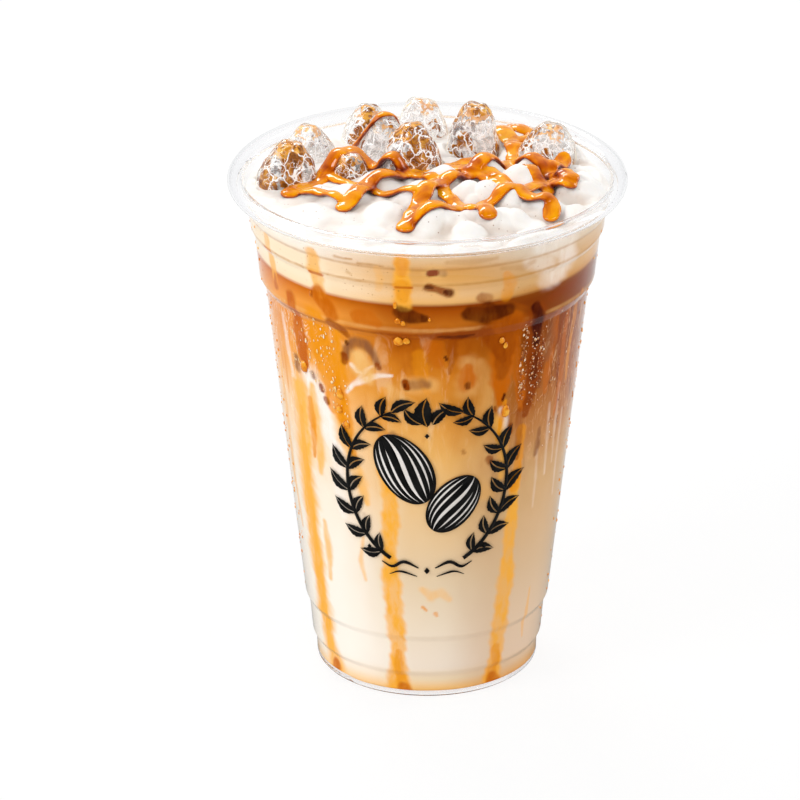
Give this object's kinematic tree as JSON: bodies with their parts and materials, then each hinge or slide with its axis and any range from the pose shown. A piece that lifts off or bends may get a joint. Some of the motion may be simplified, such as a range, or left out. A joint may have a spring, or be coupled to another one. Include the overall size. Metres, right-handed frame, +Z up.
{
  "type": "iced caramel macchiato in a clear cup",
  "caption": "Clear plastic cup with a rolled rim, holding a layered iced milk and coffee drink topped with foam, ice and caramel sauce.",
  "frame": {"origin": "middle of the foot, on the surface that the cup stands on", "axes": "+Z up through the cup's mouth, -Y towards the printed front, +X to the right of the front"},
  "size_m": [0.098, 0.098, 0.1401],
  "materials": {
    "clear_cup": "clear, glossy thermoformed sheet",
    "caramel": "glossy, amber syrup",
    "milk": "smooth cream liquid",
    "latte": "smooth tan liquid",
    "coffee": "smooth brown liquid",
    "crema": "fine pale froth",
    "milk_foam": "soft white foam",
    "ice": "clear, melted smooth",
    "print": "printed ink"
  },
  "bodies": {
    "root": {"cup": "clear_cup", "caramel_pool": "caramel", "milk": "milk", "latte": "latte", "coffee": "coffee", "crema": "crema", "milk_foam": "milk_foam", "ice_left": "ice", "ice_left_back": "ice", "ice_back_left": "ice", "ice_back": "ice", "ice_arch": "ice", "ice_centre": "ice", "ice_right_centre": "ice", "ice_right": "ice", "ice_low": "ice"}
  },
  "joints": []
}
